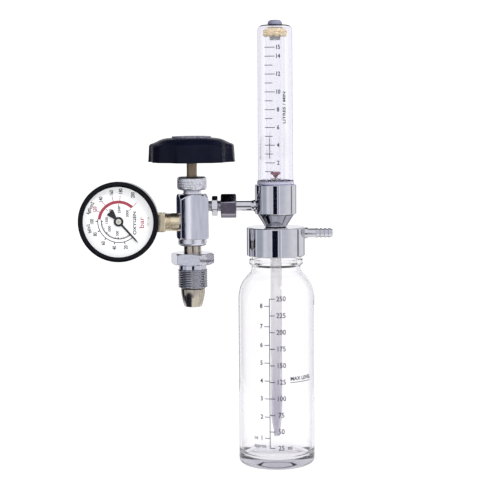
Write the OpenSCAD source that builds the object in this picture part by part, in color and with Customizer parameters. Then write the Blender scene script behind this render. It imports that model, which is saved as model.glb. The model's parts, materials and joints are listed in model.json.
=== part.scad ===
// Oxygen fine-adjustment valve with pressure gauge, flowmeter and humidifier bottle.
// The origin is on the inlet axis, at the lower end of the inlet nut's male thread.
// +Z is up, -Y is the front, where the gauge faces, and +X runs towards the flowmeter.

/* [Inlet] */
// Radius over the inlet nut's male thread
inlet_thread_r = 11.455; // [11:0.005:12]
// Length of the inlet nut's male thread
inlet_thread_len = 14.5; // [13:0.1:15]
// Width across the flats of the inlet nut
inlet_nut_flats = 30; // [28:0.5:32]
// Turn of the inlet nut's flats about the inlet axis
inlet_nut_turn = 49; // [0:1:59]
// Radius of the inlet stem
stem_r = 6.9; // [6.5:0.1:7]

/* [Valve] */
// Width across the flats of the square valve body
body_flats = 22.6; // [22:0.1:23]
// Radius to which the valve body's corners are turned
body_r = 15.4; // [14.5:0.1:15.6]
// Turn of the valve body's flats about the inlet axis
body_turn = 12.5; // [0:0.5:15]
// Height of the valve body's underside
body_z = 38.8; // [38.6:0.1:39]
// Height of the valve body's top
body_top = 73.7; // [73.5:0.1:74]
// Height of the outlet's axis
outlet_z = 64; // [63.5:0.1:64.5]
// Radius of the valve spindle
spindle_r = 4; // [3.8:0.05:4.1]

/* [Handwheel] */
// Radius of the handwheel at its lower lip
wheel_r = 34.1; // [33:0.1:35]
// Height of the handwheel's lower lip
wheel_z = 98.6; // [98:0.1:99]
// Number of finger flutes around the handwheel
flutes = 8; // [6:1:10]
// Depth of a finger flute
flute_depth = 3; // [1:0.1:3.5]
// Radius of a finger flute's hollow
flute_r = 21; // [15:1:25]
// Turn of the first finger flute about the valve axis
flute_turn = 15; // [0:1:44]

/* [Gauge] */
// Distance of the gauge's centre from the inlet axis
gauge_x = 56.5; // [56.3:0.1:57]
// Height of the gauge's centre
gauge_z = 53.1; // [52.8:0.1:53.4]
// Height of the gauge socket's axis
socket_z = 51.6; // [51.4:0.1:52]
// Radius of the gauge's bezel
bezel_r = 31.1; // [31:0.1:32]
// Radius of the dial that the bezel leaves in sight
sight_r = 27.1; // [26.5:0.1:27.5]
// Angle between the pointer at rest and straight down, seen from the gauge's own front
pointer_rest = 48; // [45:1:50]

/* [Flowmeter] */
// Distance of the flowmeter's axis from the inlet axis
flow_x = 65.1; // [65:0.1:65.5]
// Radius of the flowmeter's body
flow_r = 16.3; // [16:0.1:17]
// Height of the flow body's top, where the clear cover stands
flow_top = 80.6; // [80.4:0.1:81]
// Height of the top of the clear cover
cover_top = 203.2; // [203:0.1:203.8]
// Outer radius of the metering tube
tube_r = 7.3; // [7:0.1:7.5]
// Radius of the float
float_r = 3.9; // [3.7:0.05:3.9]

/* [Humidifier] */
// Radius of the bottle cap
cap_r = 22.9; // [22.6:0.1:23.4]
// Height of the bottle cap's lower edge
cap_z = 25; // [24.5:0.1:25.5]
// Height of the bottle cap's top
cap_top = 47.4; // [47:0.1:47.8]
// Height of the hose outlet's axis
barb_z = 42.4; // [42:0.1:42.5]
// Radius of the bottle
bottle_r = 29.8; // [29.5:0.1:30]
// Depth of the bottle's base below the origin
bottle_depth = 139.3; // [136:0.1:141]
// Thickness of the bottle's wall
bottle_wall = 2.8; // [2:0.1:3]
// Radius of the dip tube
dip_r = 4.45; // [4.3:0.05:4.6]
// Depth of the dip tube's tip below the origin
dip_depth = 118.5; // [114:0.5:121]

/* [Hidden] */
$fn = 64;

// Running clearance between a turning piece and the piece around it
run = 0.05;
// Small overlap that makes a cutting tool pass right through a face
cut = 0.5;
seat_z = 57.5;
neck_r = 7.2;
gland_z = 76.7;
gland_top = 87.1;
packing_z = 77;
tail_r = 3.8;
collar_r = 4.3;
sector_r = 9;
pinion_r = 1;
gear_module = 0.25;
link_arm = 6;
link_len = 7;

// ---------- shared shapes ----------

// Points of an arc about c, from angle a to angle b
function arc(c, r, a, b, n = 8) = [for (i = [0 : n])
    c + r * [cos(a + (b - a) * i / n), sin(a + (b - a) * i / n)]];

// A solid turned about Z from its outline of [radius, height] points
module turned(outline) rotate_extrude() polygon(outline);

// A straight round bar from z0 to z1
module bar(r, z0, z1) translate([0, 0, z0]) cylinder(r = r, h = z1 - z0);

// A round tube from z0 to z1
module tube(r_out, r_in, z0, z1) difference() {
    bar(r_out, z0, z1);
    bar(r_in, z0 - cut, z1 + cut);
}

// A hexagonal bar, given its width across the flats
module hex(flats, z0, z1) translate([0, 0, z0]) cylinder(r = flats / sqrt(3), h = z1 - z0, $fn = 6);

// A block of width x, depth y centred on Z, from z0 to z1
module block(x, y, z0, z1) translate([-x / 2, -y / 2, z0]) cube([x, y, z1 - z0]);

// A hexagonal nut or head with its corners turned off at one or both ends
module turned_hex(flats, z0, z1, low = 1, high = 1) {
    corner = flats / sqrt(3);
    slope = 0.55 * (corner - flats / 2);
    intersection() {
        hex(flats, z0, z1);
        turned([
            [0, z0], [corner - low * slope * 1.8, z0], [corner, z0 + low * slope],
            [corner, z1 - high * slope], [corner - high * slope * 1.8, z1], [0, z1]
        ]);
    }
}

// Places a shape modelled along +Z so that it runs along +X at height z
module along_x(z) translate([0, 0, z]) rotate([0, 90, 0]) children();

// The gauge's own frame: x to its right, y to its top, z towards its front; its top points to -X
module at_gauge() translate([-gauge_x, 0, gauge_z]) rotate([0, -90, 0]) rotate([90, 0, 0]) children();

// The flowmeter's axis
module at_flow() translate([flow_x, 0, 0]) children();

// A gear outline of n teeth, of which the ones numbered first to last are cut
module gear_outline(r, n, first, last) {
    root = r - 1.2 * gear_module;
    tip = r + 0.8 * gear_module;
    half_root = 0.8 * gear_module / r * 57.3;
    half_tip = 0.35 * gear_module / r * 57.3;
    teeth = [for (i = [first : last]) each [
        for (p = [[root, -half_root], [tip, -half_tip], [tip, half_tip], [root, half_root]])
            p[0] * [cos(i * 360 / n + p[1]), sin(i * 360 / n + p[1])]
    ]];
    polygon(teeth);
}

// ---------- inlet ----------

module inlet_nipple() color("#a98f5c") difference() {
    union() {
        // Bull nose, its shoulder under the nut, and the stem up into the valve body
        turned(concat(
            [[0, -14.8], [6.3, -14.8]], arc([-30.2, 0], 39.7, -21.4, -1.5, 6), [[9.2, -0.4], [0, -0.4]]
        ));
        bar(stem_r, -cut, body_z);
        bar(stem_r - 0.5, body_z - cut, 46);
    }
    bar(3.2, -15, -8);
    bar(2, -9, 47);
}

module inlet_filter() color("#b08d57") turned(
    [[0, -14.2], [2.2, -14.2], [3.2, -13.2], [3.2, -8], [0, -8]]
);

module inlet_nut() color("#c9ccd1") {
    rim = inlet_thread_r - 1.5;
    relief_z = inlet_thread_len + 4.1;
    difference() {
        union() {
            turned([
                [0, 0], [rim, 0], [inlet_thread_r, 1.5], [inlet_thread_r, inlet_thread_len],
                [10.7, inlet_thread_len + 0.5], [10.7, relief_z + 1], [0, relief_z + 1]
            ]);
            rotate(inlet_nut_turn) turned_hex(inlet_nut_flats, relief_z, 27.7);
        }
        bar(stem_r + run, -cut, 30);
    }
}

module stem_collar() color("#b9b4a4") difference() {
    turned(concat([[0, 33.2]], arc([9, 35.4], 2.2, -90, 0, 5), [[11.2, body_z], [0, body_z]]));
    bar(stem_r, 33, body_z + cut);
}

// ---------- valve ----------

module valve_body() color("#c9ccd1") difference() {
    intersection() {
        rotate(body_turn) block(body_flats, body_flats, body_z, body_top);
        turned([
            [0, body_z], [body_r - 2, body_z], [body_r, body_z + 1.8],
            [body_r, body_top - 4], [body_flats / 2 + 0.1, body_top], [0, body_top]
        ]);
    }
    bar(stem_r - 0.5, body_z - cut, 46);
    bar(2, 45, 56);
    bar(4, 55, seat_z + 1.2);
    bar(5.3, seat_z + 1.2, 68);
    bar(7.5, 67.9, body_top + cut);
    // Spot face and port of the gauge, then the outlet's port
    along_x(socket_z) bar(7.25, -20, -8.6);
    along_x(socket_z) bar(5, -20, -5.5);
    along_x(socket_z) bar(1.2, -6, 0);
    along_x(outlet_z) bar(4.3, 8.4, 20);
    along_x(outlet_z) bar(1.6, 0, 9);
}

module valve_seat() color("#f2f2ee") turned(
    [[1.25, 55], [4, 55], [4, seat_z + 1], [2.25, seat_z + 1], [1.25, seat_z]]
);

module seat_plug() color("#b08d57") {
    // Hexagonal plug, which guides itself in the round chamber, with a stud for the spindle
    difference() {
        hex(8.9, seat_z + 2.6, 63.9);
        bar(2.6, seat_z + 2, seat_z + 4);
    }
    bar(2, 63, 66.4);
}

module plug_seal() color("#303030") turned(
    [[0, seat_z + 0.2], [1.0, seat_z + 0.2], [2.6, seat_z + 1.9], [2.6, seat_z + 4], [0, seat_z + 4]]
);

module spindle() color("#b08d57") difference() {
    turned([
        [0, 64], [4.4, 64], [4.6, 64.3], [4.6, 72], [spindle_r, 72.8], [spindle_r, 103],
        [3, 103.5], [3, 116.6], [2.6, 117], [0, 117]
    ]);
    bar(2 + run, 63.5, 66.6);
}

module bonnet() color("#c9ccd1") turned([
    [4.65, 67.9], [7.5, 67.9], [7.5, body_top], [neck_r, body_top], [neck_r, gland_z],
    [8.5, gland_z], [8.5, 83.1], [6.4, 83.1], [6.4, packing_z], [4.65, packing_z]
]);

module packing_washer() color("#b08d57") tube(6.4, spindle_r + run, packing_z, 78);

module gland_packing() color("#e8e8e2") tube(6.4, spindle_r + run, 78, 81.2);

module gland_nut() color("#d0d2d6") {
    top = gland_top;
    difference() {
        turned(concat(
            [[0, gland_z]], arc([9.6, gland_z + 2], 2, -90, 0, 5),
            arc([9.3, top - 2.3], 2.3, 0, 90, 5), [[0, top]]
        ));
        bar(8.5, gland_z - cut, 83.3);
        bar(spindle_r + run, 83, top + cut);
    }
    tube(6.4, spindle_r + run, 81.2, 83.5);
}

module handwheel() color("#1b1c20") difference() {
    union() {
        difference() {
            turned(concat(
                [[0, wheel_z], [wheel_r, wheel_z], [wheel_r - 0.4, wheel_z + 1.5]],
                arc([wheel_r - 3.9, 109.9], 2.9, 0, 70, 5),
                [[29.9, 113.1], [25, 115.5], [22.5, 116.4], [16.4, 117.2], [0, 117.2]]
            ));
            turned([
                [0, wheel_z - cut], [28.6, wheel_z - cut], [28.2, 108.5],
                [26, 111], [14, 113], [0, 113]
            ]);
        }
        // Hub and spokes inside the hollow rim
        bar(9, wheel_z + 1, 114);
        for (i = [0 : flutes - 1]) rotate((i + 0.5) * 360 / flutes)
            translate([8, -1, wheel_z + 5]) cube([20.5, 2, 7.6]);
        wheel_marks();
    }
    for (i = [0 : flutes - 1]) rotate(flute_turn + i * 360 / flutes)
        translate([wheel_r + flute_r - flute_depth, 0, 0]) bar(flute_r, wheel_z - cut, 120);
    hex(12, wheel_z, 112.5);
    bar(3, wheel_z, 120);
    bar(7.2, 112.5, 120);
}

// Raised arcs on the handwheel's crown
module wheel_marks() {
    gap = 1.4;
    for (side = [0, 180]) rotate(side) {
        for (span = [[-109, -71], [-71, 0], [0, 71]]) intersection() {
            tube(15.2, 11.6, 116, 118.3);
            rotate_extrude(angle = span[1] - span[0] - 4, start = span[0] + 2) square([20, 120]);
        }
    }
}

module wheel_insert() color("#b08d57") difference() {
    hex(12, wheel_z + 2, 112.5);
    bar(spindle_r, wheel_z, 103.5);
    bar(3, wheel_z, 113);
}

module wheel_washer() color("#c9ccd1") tube(6.4, 3, 112.5, 113.5);

module wheel_nut() color("#c9ccd1") difference() {
    turned_hex(10, 113.5, 116.2, low = 0);
    bar(3, 113, 117);
}

// ---------- gauge ----------

module gauge_washer() color("#8a3b2a") along_x(socket_z) tube(7, 5, -9.8, -8.6);

module gauge_socket() color("#b59a5f") difference() {
    union() {
        // Square block outside the case, and its threaded spigot into the valve body
        along_x(socket_z) block(14.7, 14.7, -28.3, -20.7);
        along_x(socket_z) bar(7.1, -21, -9.8);
        along_x(socket_z) bar(5, -10, -6);
        // Block inside the case, with a ledge for the movement
        at_gauge() {
            translate([-6, -30.5, -6]) cube([11, 14, 11.5]);
            translate([-4.5, -17, -6]) cube([9, 5.5, 4]);
        }
    }
    along_x(socket_z) bar(1.2, -37, -5);
    at_gauge() for (x = [-3, 3]) translate([x, -14, 0]) bar(0.6, -5, 0);
}

module gauge_case() color("#17181b") at_gauge() difference() {
    turned(concat(
        [[0, -11]], arc([26.5, -7.5], 3.5, -90, 0, 5), [[30, 12], [29, 12]],
        arc([26.5, -7.5], 2.5, 0, -90, 5), [[0, -10]]
    ));
    translate([socket_z - gauge_z, -27, 0]) rotate([90, 0, 0]) block(15, 14.9, 0, 5);
    translate([0, 16, 0]) bar(3, -12, -9);
}

module gauge_bezel() color("#141518") at_gauge() turned(concat(
    [[30.05, 8], [bezel_r, 8]], arc([bezel_r - 1.6, 15.4], 1.6, 0, 90, 5),
    [[sight_r + 0.8, 17], [sight_r, 16.2], [sight_r, 15.5], [29, 15.5], [29, 12], [30.05, 12]]
));

module gauge_window() color("#dfe8ee", 0.3) at_gauge() bar(28.9, 13.4, 15.5);

module window_gasket() color("#303030") at_gauge() tube(28.9, 27.6, 12, 13.4);

module gauge_dial() color("#f4f4f0") at_gauge() difference() {
    bar(28.6, 9.4, 10);
    bar(2.2, 9, 10.5);
    for (x = [-6.5, 6.5]) translate([x, -4, 0]) bar(0.8, 9, 10.5);
}

module dial_screws() color("#b59a5f") at_gauge() for (x = [-6.5, 6.5]) translate([x, -4, 0])
    turned([[0, 7], [0.8, 7], [0.8, 10], [1.5, 10], [1.5, 10.3], [0.9, 10.7], [0, 10.7]]);

module gauge_pointer() color("#151515") at_gauge() rotate(-pointer_rest) {
    difference() {
        union() {
            // Slim tapered tip, straight down before the turn to the rest angle, and a wide tail
            linear_extrude_at(11, 11.4) polygon([[-1.1, 0], [-0.2, -22], [0.2, -22], [1.1, 0]]);
            linear_extrude_at(11, 11.4) polygon([[-0.9, 0], [0.9, 0], [3, 10.3], [-3, 10.3]]);
            bar(3.8, 10.9, 11.5);
            bar(2.2, 10.5, 12.3);
        }
        bar(0.8, 10, 13);
    }
}

module linear_extrude_at(z0, z1) translate([0, 0, z0]) linear_extrude(height = z1 - z0) children();

module pointer_pinion() color("#b59a5f") at_gauge() {
    bar(0.8, -0.75, 12.5);
    rotate(-90 + 22.5) linear_extrude_at(1.8, 4.2) gear_outline(pinion_r, 8, 0, 7);
}

// Points of a flat spiral that starts at radius r and grows by pitch in a turn
function spiral(r, pitch, turns, steps = 24) = [for (i = [0 : turns * steps])
    (r + pitch * i / steps) * [cos(i * 360 / steps), sin(i * 360 / steps)]];

function reversed(points) = [for (i = [len(points) - 1 : -1 : 0]) points[i]];

// The spring around the pinion's arbor, from its collet out to its anchor
module hairspring() color("#c8b070") at_gauge() linear_extrude_at(-0.5, 0)
    polygon(concat(spiral(1.2, 0.55, 4), reversed(spiral(1.32, 0.55, 4))));

module sector_gear() color("#b59a5f") at_gauge() translate([0, -sector_r - pinion_r, 0]) {
    // The sector's tail reaches to the link's pin, half its swing below the level
    tail = link_arm * [cos(-15), sin(-15)];
    linear_extrude_at(2.4, 3.6) rotate(90) gear_outline(sector_r, 72, -8, 3);
    linear_extrude_at(2.4, 3.6) polygon([[0, 0], 8.72 * [cos(106), sin(106)], 8.72 * [cos(50), sin(50)]]);
    linear_extrude_at(2.4, 3.6) polygon([[0.3, 1.5], [-0.6, -1.4], tail + [0, -1.2], tail + [0.4, 1.1]]);
    bar(1.8, 1.6, 4.4);
    translate([tail[0], tail[1], 0]) bar(1.2, 2.4, 3.6);
    translate([tail[0], tail[1], 0]) bar(0.4, 0.9, 3);
    bar(0.7, -0.75, 5.5);
}

module gauge_link() color("#b59a5f") at_gauge() {
    pin = [link_arm * cos(-15), -sector_r - pinion_r + link_arm * sin(-15)];
    difference() {
        linear_extrude_at(1.1, 1.9) union() {
            translate(pin) circle(r = 1.3);
            translate(pin + [0, link_len]) circle(r = 1.2);
            translate(pin + [-0.6, 0.5]) square([1.2, link_len - 1]);
        }
        translate([pin[0], pin[1], 0]) bar(0.7, 0, 3);
        translate([pin[0], pin[1] + link_len, 0]) bar(0.5 + run, 0, 3);
    }
}

module bourdon_tip() color("#b59a5f") at_gauge() {
    pin = [link_arm * cos(-15), -sector_r - pinion_r + link_arm * sin(-15) + link_len];
    translate([pin[0], pin[1], 0]) bar(0.5, 0, 1.9);
    linear_extrude_at(0, 1.1) polygon([
        pin + [-1, -1], pin + [-1, 1], pin + [4, 1], [16.6, -5], [17, -7.2], pin + [4, -1.2]
    ]);
}

module bourdon_tube() color("#b59a5f") at_gauge() rotate_extrude(angle = 275, start = -20) difference() {
    translate([18.2, -3.5]) square([3, 9]);
    translate([18.6, -3.1]) square([2.2, 8.2]);
}

module movement_plate(z0, z1, low, arbor_r) difference() {
    translate([-5, low, z0]) cube([10, 5 - low, z1 - z0]);
    bar(arbor_r, z0 - cut, z1 + cut);
    translate([0, -sector_r - pinion_r, 0]) bar(0.7 + run, z0 - cut, z1 + cut);
}

module movement_front_plate() color("#b59a5f") at_gauge() movement_plate(5, 6.2, -14, 0.8 + run);

module movement_back_plate() color("#b59a5f") at_gauge() difference() {
    movement_plate(-2, -0.8, -16.3, 0.75);
    for (x = [-3, 3]) translate([x, -14, 0]) bar(0.6, -3, 0);
}

module movement_pillars() color("#b59a5f") at_gauge() {
    // Two pillars hold the plates apart; two brackets carry the dial
    for (x = [-4, 4]) translate([x, 4, 0]) bar(0.8, -0.8, 5);
    for (side = [-1, 1]) difference() {
        union() {
            translate([side * 6.5, -4, 0]) bar(1.5, 6.2, 9.4);
            translate([side * 5 - 2.9, -5.5, 6.2]) cube([5.8, 3, 0.8]);
        }
        translate([side * 6.5, -4, 0]) bar(0.8, 7, 10);
    }
}

module movement_screws() color("#b59a5f") at_gauge() for (x = [-3, 3]) translate([x, -14, 0])
    turned([[0, -4.5], [0.6, -4.5], [0.6, -0.8], [1.4, -0.8], [1.4, -0.1], [0, -0.1]]);

module blowout_plug() color("#303030") at_gauge() translate([0, 16, 0]) turned(
    [[0, -11.4], [4, -11.4], [4.2, -11], [3, -11], [3, -10], [3.8, -9.6], [3.4, -9.2], [0, -9.2]]
);

// ---------- outlet union ----------

module outlet_adaptor() color("#c9ccd1") along_x(outlet_z) turned(
    [[1.6, 8.4], [4.3, 8.4], [4.3, 22.6], [6.2, 23.1], [6.2, 27.4], [1.6, 27.4]]
);

module outlet_locknut() color("#c9ccd1") along_x(outlet_z) difference() {
    rotate(51) turned_hex(14, 15.4, 19.9);
    bar(4.3, 15, 21);
}

module union_nut() color("#8d9096") along_x(outlet_z) difference() {
    rotate(10.5) turned_hex(17, 22.3, 34.4);
    bar(6.25, 21, 31.3);
    bar(tail_r + run, 31, 36);
}

module union_washer() color("#303030") along_x(outlet_z) tube(5.8, 1.8, 27.5, 28.3);

module tail_pipe() color("#c9ccd1") along_x(outlet_z) turned([
    [1.6, 28.3], [6.1, 28.3], [6.1, 30], [4.8, 31.2], [tail_r, 31.2], [tail_r, 45.5],
    [4.6, 48.4], [4.6, 52], [1.6, 52]
]);

// ---------- flowmeter ----------

module flow_body() color("#c9ccd1") difference() {
    // Cylinder, cone, threaded stem through the cap, and spigot for the dip tube
    at_flow() turned([
        [0, 24.5], [3, 24.5], [3, 32], [5, 32], [5, 48], [9, 48], [9, 48.8], [14.6, 57], [15.9, 57.7],
        [flow_r, 58.6], [flow_r, flow_top - 0.4], [flow_r - 0.4, flow_top], [12, flow_top],
        [12, 74], [9.6, 74], [9.6, 80], [0, 80]
    ]);
    at_flow() bar(tube_r, 76.5, flow_top + cut);
    at_flow() bar(2.2, 61, 77);
    at_flow() bar(1.5, 24, 56);
    along_x(outlet_z) bar(4.6, 48, 52);
    along_x(outlet_z) bar(1.6, 51, flow_x);
    // Outlet passage from the space around the metering tube to the stem
    at_flow() translate([0, 10.8, 0]) bar(0.9, 54, 75);
    at_flow() translate([0, 0, 54.8]) rotate([-90, 0, 0]) bar(0.9, 0, 11.5);
}

module tube_seal() color("#303030") at_flow() translate([0, 0, 80]) tube(9.2, tube_r, 0, 0.9);

module metering_tube() color("#e6edf2", 0.35) at_flow() turned(
    [[4.15, 76.5], [tube_r, 76.5], [tube_r, 195.5], [5.2, 195.5]]
);

module float_stops() color("#d8d4cc") at_flow() {
    // A cross at each end of the metering tube stops the float and lets gas past
    for (z = [78.2, 191.5]) for (turn = [0, 90]) rotate(turn)
        translate([-4.1, -0.5, z]) cube([8.2, 1, (z < 100) ? 7 : 3]);
}

module float() color("#6a1424") at_flow() turned(
    [[0, 85.4], [0.8, 85.4], [2.5, 88], [float_r, 88.6], [float_r, 89.9], [3.4, 90.3], [0, 90.3]]
);

module tube_cover() color("#dfe8ee", 0.3) at_flow() {
    r_top = 13.5;
    wall = 1.7;
    bend = 4.4;
    turned(concat(
        [[10.6, 75], [12, 75], [12, flow_top], [13, flow_top], [13, 81.2], [14.5, 81.2]],
        [[14.5, 82.8], [13.9, 82.8]],
        arc([r_top - bend, cover_top - bend], bend, 0, 90, 8), [[2.5, cover_top], [2.5, cover_top - wall]],
        arc([r_top - bend, cover_top - bend], bend - wall, 90, 0, 6), [[12.1, 84], [10.6, 81]]
    ));
}

module cover_seals() color("#202024") at_flow() {
    tube(14.4, 13, flow_top, 81.2);
    tube(14.5, 13.9, 82.8, 83.4);
}

module top_plug() color("#c98a3c") at_flow() difference() {
    turned([
        [0, 194], [8.6, 194], [9.6, 194.8], [9.6, 198.8], [6, 201.5], [0, 201.5]
    ]);
    bar(tube_r, 193, 195.5);
    bar(3.5, 195, 197);
    bar(2.5, 197, 202);
    for (turn = [0, 60, 120]) rotate(turn) block(20, 1.2, 193, 195);
}

module top_button() color("#8d8f9a") at_flow() turned(concat(
    [[0, 197.2], [2.5, 197.2], [2.5, cover_top], [5.6, cover_top], [5.6, cover_top + 1.4]],
    arc([2.8, cover_top + 0.9], 2.8, 10, 90, 5), [[0, cover_top + 3.7]]
));

// ---------- humidifier ----------

module cap_seal() color("#303030") at_flow() tube(8, 5, cap_top, 48);

// X of the spot face on which the hose outlet's collar stands
function barb_face() = flow_x + sqrt(cap_r * cap_r - 4.5 * 4.5);

module bottle_cap() color("#c9ccd1") difference() {
    at_flow() turned([
        [5, 37], [19.2, 37], [19.2, cap_z], [cap_r - 0.5, cap_z], [cap_r, cap_z + 0.5],
        [cap_r, cap_top - 0.9], [cap_r - 0.9, cap_top], [5, cap_top]
    ]);
    along_x(barb_z) bar(4.5, barb_face(), 100);
    along_x(barb_z) bar(3.2, flow_x + 13, 100);
    along_x(barb_z) bar(1.5, flow_x + 9, flow_x + 14);
    at_flow() translate([11, 0, 0]) bar(1.5, 36, barb_z);
}

module cap_locknut() color("#c9ccd1") at_flow() difference() {
    turned_hex(15, 33, 37);
    bar(5, 32, 38);
}

module hose_barb() color("#c9ccd1") along_x(barb_z) {
    root = 3.1;
    crest = 3.7;
    shank = 3.5;
    pitch = 3.2;
    first = 96.4;
    barbs = [for (i = [0 : 3]) each [[crest, first + i * pitch], [root, first + (i + 1) * pitch - 0.3]]];
    turned(concat(
        [[1.2, flow_x + 13], [3.2, flow_x + 13], [3.2, barb_face()], [collar_r, barb_face()]],
        [[collar_r, 90], [shank, 90], [shank, first]], barbs, [[2.9, 109.3], [1.2, 109.3]]
    ));
}

module dip_tube() color("#e9e9ea") at_flow() turned([
    [3, 31], [dip_r, 31], [dip_r, -102], [2.3, -dip_depth], [1.5, -dip_depth], [3, -102]
]);

module bottle_gasket() color("#d8d8d4") at_flow() tube(18.7, 15, 35, 37);

module bottle() color("#e4edf2", 0.3) at_flow() {
    // The shoulder bends outwards, then a hollow of radius hollow leads to the neck
    bend = 25.5;
    rise = 50;
    hollow = 4;
    corner = 3.5;
    base = -bottle_depth;
    centre = [bottle_r - bend, -8];
    waist = centre + (bend + hollow) * [cos(rise), sin(rise)];
    turned(concat(
        [[16, 35], [18.8, 35], [18.8, 22.6], [20.4, 22.6], [21, 22], [21, 19], [20.4, 18.2]],
        [[waist[0] - hollow, 17]],
        arc(waist, hollow, 180, 180 + rise, 5), arc(centre, bend, rise, 0, 10),
        arc([bottle_r - corner, base + corner], corner, 0, -90, 6),
        [[17, base + 0.6], [10, base + 2], [0, base + 2.4], [0, base + 8], [12, base + 7.6]],
        arc([bottle_r - bottle_wall - 6, base + 13], 6, -90, 0, 6),
        arc(centre, bend - bottle_wall, 0, rise, 8), arc(waist, hollow + bottle_wall, 180 + rise, 180, 4)
    ));
}

inlet_nipple();
inlet_filter();
inlet_nut();
stem_collar();
valve_body();
valve_seat();
seat_plug();
plug_seal();
spindle();
bonnet();
packing_washer();
gland_packing();
gland_nut();
handwheel();
wheel_insert();
wheel_washer();
wheel_nut();
gauge_washer();
gauge_socket();
gauge_case();
gauge_bezel();
gauge_window();
window_gasket();
gauge_dial();
dial_screws();
gauge_pointer();
pointer_pinion();
hairspring();
sector_gear();
gauge_link();
bourdon_tip();
bourdon_tube();
movement_front_plate();
movement_back_plate();
movement_pillars();
movement_screws();
blowout_plug();
outlet_adaptor();
outlet_locknut();
union_nut();
union_washer();
tail_pipe();
flow_body();
tube_seal();
metering_tube();
float_stops();
float();
tube_cover();
cover_seals();
top_plug();
top_button();
cap_seal();
bottle_cap();
cap_locknut();
hose_barb();
dip_tube();
bottle_gasket();
bottle();
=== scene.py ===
"""Looks of the oxygen valve, gauge, flowmeter and humidifier bottle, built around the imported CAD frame.

Lengths in this script are millimetres in the row's own frame; meshes are scaled to metres when they are made.
"""

import json
import math

import bmesh
import bpy
from mathutils import Matrix, Vector


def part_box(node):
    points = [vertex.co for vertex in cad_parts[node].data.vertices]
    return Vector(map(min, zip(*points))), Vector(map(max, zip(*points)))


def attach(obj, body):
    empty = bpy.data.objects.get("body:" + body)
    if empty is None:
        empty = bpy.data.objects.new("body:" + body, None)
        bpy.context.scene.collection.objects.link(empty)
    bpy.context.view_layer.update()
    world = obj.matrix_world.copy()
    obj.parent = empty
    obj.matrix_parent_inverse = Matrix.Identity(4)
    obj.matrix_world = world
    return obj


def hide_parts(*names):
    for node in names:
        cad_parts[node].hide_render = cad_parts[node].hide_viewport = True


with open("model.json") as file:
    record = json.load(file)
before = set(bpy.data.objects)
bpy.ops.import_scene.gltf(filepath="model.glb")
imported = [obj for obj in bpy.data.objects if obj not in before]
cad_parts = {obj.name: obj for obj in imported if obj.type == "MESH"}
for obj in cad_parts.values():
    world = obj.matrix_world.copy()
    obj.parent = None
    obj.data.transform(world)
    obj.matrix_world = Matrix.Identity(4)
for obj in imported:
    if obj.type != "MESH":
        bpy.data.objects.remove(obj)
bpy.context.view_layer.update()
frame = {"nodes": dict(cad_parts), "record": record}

MM = 0.001
TAU = 2 * math.pi
RELIEF = 0.0001  # height in metres of the finest relief on a surface


# ----- places taken from the frame -----


class Box:
    """A CAD node's extents in millimetres: lowest and highest corner, centre and half sizes."""

    def __init__(self, node):
        (self.x0, self.y0, self.z0), (self.x1, self.y1, self.z1) = (
            [v / MM for v in corner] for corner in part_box(node)
        )
        self.cx, self.cz = (self.x0 + self.x1) / 2, (self.z0 + self.z1) / 2
        self.rx, self.ry = (self.x1 - self.x0) / 2, (self.y1 - self.y0) / 2


FLOW_X = Box("flow_body").cx
GAUGE_X, GAUGE_Z = Box("gauge_bezel").cx, Box("gauge_bezel").cz
OUTLET_Z = Box("tail_pipe").cz
BARB_Z = Box("hose_barb").cz
SOCKET_Z = Box("gauge_washer").cz
BODY_Z, BODY_TOP = Box("valve_body").z0, Box("valve_body").z1
STEM_R, SPINDLE_R, TAIL_R = 6.9, 4.0, 3.8
# Degrees that the valve body, the inlet nut, the locknut and the union nut are turned about their axes
BODY_TURN, NUT_TURN, LOCKNUT_TURN, UNION_TURN = 12.5, 49, 51, 10.5

UPRIGHT = Matrix.Identity(4)
AT_FLOW = Matrix.Translation((FLOW_X, 0, 0))
# The gauge's own frame: x to its right, y to its top, z towards its front; its top points to -X
AT_GAUGE = (
    Matrix.Translation((GAUGE_X, 0, GAUGE_Z))
    @ Matrix.Rotation(-math.pi / 2, 4, "Y")
    @ Matrix.Rotation(math.pi / 2, 4, "X")
)


def along_x(z):
    """Turns a shape made along +Z so that it runs along +X at height z."""
    return Matrix.Translation((0, 0, z)) @ Matrix.Rotation(math.pi / 2, 4, "Y")


# ----- mesh helpers -----


def in_scene(name, data):
    obj = bpy.data.objects.new(name, data)
    bpy.context.scene.collection.objects.link(obj)
    return obj


def new_object(name, verts, faces, place=UPRIGHT, smooth=True):
    """An object from points in millimetres, placed in the row frame."""
    mesh = bpy.data.meshes.new(name)
    mesh.from_pydata([place @ Vector(v) * MM for v in verts], [], faces)
    mesh.validate()
    for face in mesh.polygons:
        face.use_smooth = smooth
    return in_scene(name, mesh)


def weighted(obj):
    """Keeps flat faces flat beside narrow rounded edges."""
    mod = obj.modifiers.new("weighted_normal", "WEIGHTED_NORMAL")
    mod.mode = "FACE_AREA"
    mod.weight = 60
    return obj


def arc(cx, cz, r, a, b, n):
    """Points of an arc about (cx, cz), from angle a to angle b in degrees."""
    angles = [math.radians(a + (b - a) * i / n) for i in range(n + 1)]
    return [(cx + r * math.cos(t), cz + r * math.sin(t)) for t in angles]


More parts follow.
